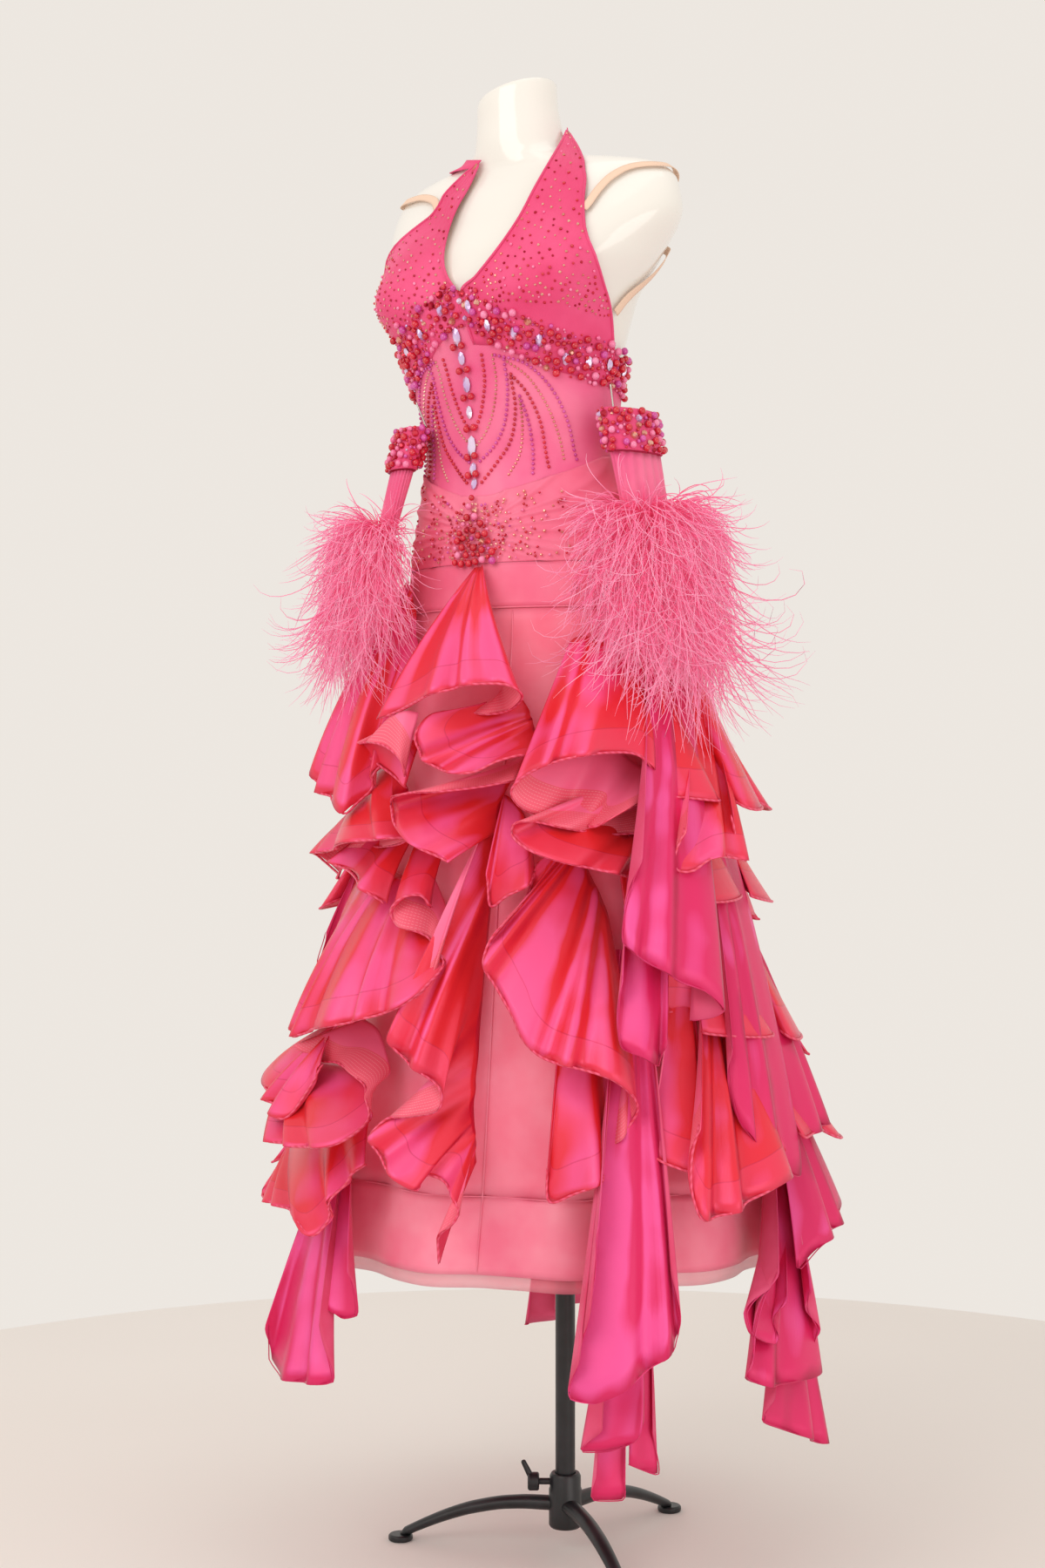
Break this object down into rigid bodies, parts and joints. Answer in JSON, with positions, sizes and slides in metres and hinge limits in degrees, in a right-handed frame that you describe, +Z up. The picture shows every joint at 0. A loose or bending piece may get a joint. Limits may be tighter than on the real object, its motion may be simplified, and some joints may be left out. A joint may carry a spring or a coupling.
{
  "type": "ballroom dance gown on a limbless dress form and stand",
  "caption": "Ballroom dance gown with a halter bodice, beaded waist, curling satin flounces and long floats, its two feather sleeves pinned on, on a limbless dress form on a pole stand.",
  "frame": {"origin": "centre of the object's box at floor level, under the feet of the stand", "axes": "+Z up, the gown's front faces -Y, +X is the wearer's left"},
  "size_m": [0.771, 0.7344, 1.7737],
  "materials": {
    "form_gloss": "gloss",
    "stand_black": "satin black",
    "bodice_stretch": "matt stretch",
    "beads": "polished",
    "stones": "faceted",
    "sheer_mesh": "sheer",
    "coral_stretch": "matt stretch",
    "nude_elastic": "matt",
    "coral_organza": "crisp",
    "net": "sheer",
    "shot_satin": "shot satin",
    "float_satin": "satin",
    "feather": "feather",
    "pin_steel": "polished"
  },
  "bodies": {
    "stand": {"stand_base": "stand_black"},
    "clamp": {"stand_clamp": "stand_black"},
    "dressed_form": {"form_body": "form_gloss", "stand_pole": "stand_black", "bodice_cup_left": "bodice_stretch", "bodice_cup_right": "bodice_stretch", "halter_neck_band": "bodice_stretch", "bodice_back": "bodice_stretch", "underbust_trim": "beads", "centre_stones": "stones", "bead_cluster": "beads", "midriff_front": "sheer_mesh", "midriff_back": "sheer_mesh", "hip_swathe_front": "coral_stretch", "hip_swathe_back": "coral_stretch", "yoke_band": "coral_stretch", "strap_left": "nude_elastic", "strap_right": "nude_elastic", "underskirt": "coral_organza", "underskirt_hem": "coral_organza", "net_hem": "net", "sleeve_band_left": "beads", "sleeve_band_right": "beads", "sleeve_tube_left": "sheer_mesh", "sleeve_tube_right": "sheer_mesh", "feather_puff_left": "feather", "feather_puff_right": "feather", "sleeve_pin_left": "pin_steel", "sleeve_pin_right": "pin_steel", "flounce_front": "shot_satin", "flounce_hip_right": "shot_satin", "flounce_hip_left": "shot_satin", "flounce_side_left": "shot_satin", "flounce_front_low": "shot_satin", "flounce_right_low": "shot_satin", "flounce_left_low": "shot_satin", "flounce_side_low": "shot_satin", "flounce_right_mid": "shot_satin", "flounce_centre": "shot_satin", "flounce_side_mid": "shot_satin", "flounce_cascade": "shot_satin", "flounce_right_curl": "shot_satin", "flounce_right_hem": "shot_satin", "flounce_centre_hem": "shot_satin", "flounce_left_point": "shot_satin", "flounce_left_hem": "shot_satin", "flounce_back_top": "shot_satin", "flounce_back_second": "shot_satin", "flounce_back_third": "shot_satin", "flounce_back_hem": "shot_satin", "float_short": "float_satin", "float_column": "float_satin", "float_long": "float_satin", "float_long_tail": "float_satin", "float_side": "float_satin", "float_back_left": "float_satin", "float_back": "float_satin", "float_right": "float_satin"}
  },
  "joints": [
    {"name": "pole_height", "type": "slide", "parent": "stand", "child": "dressed_form", "axis": [0, 0, 1], "range_m": [0, 0.03]},
    {"name": "clamp_turn", "type": "hinge", "parent": "stand", "child": "clamp", "pos_m": [-0.0118, 0.00405, 0.083], "axis": [-0.8387, -0.5446, 0], "range_deg": [0, 90]}
  ]
}
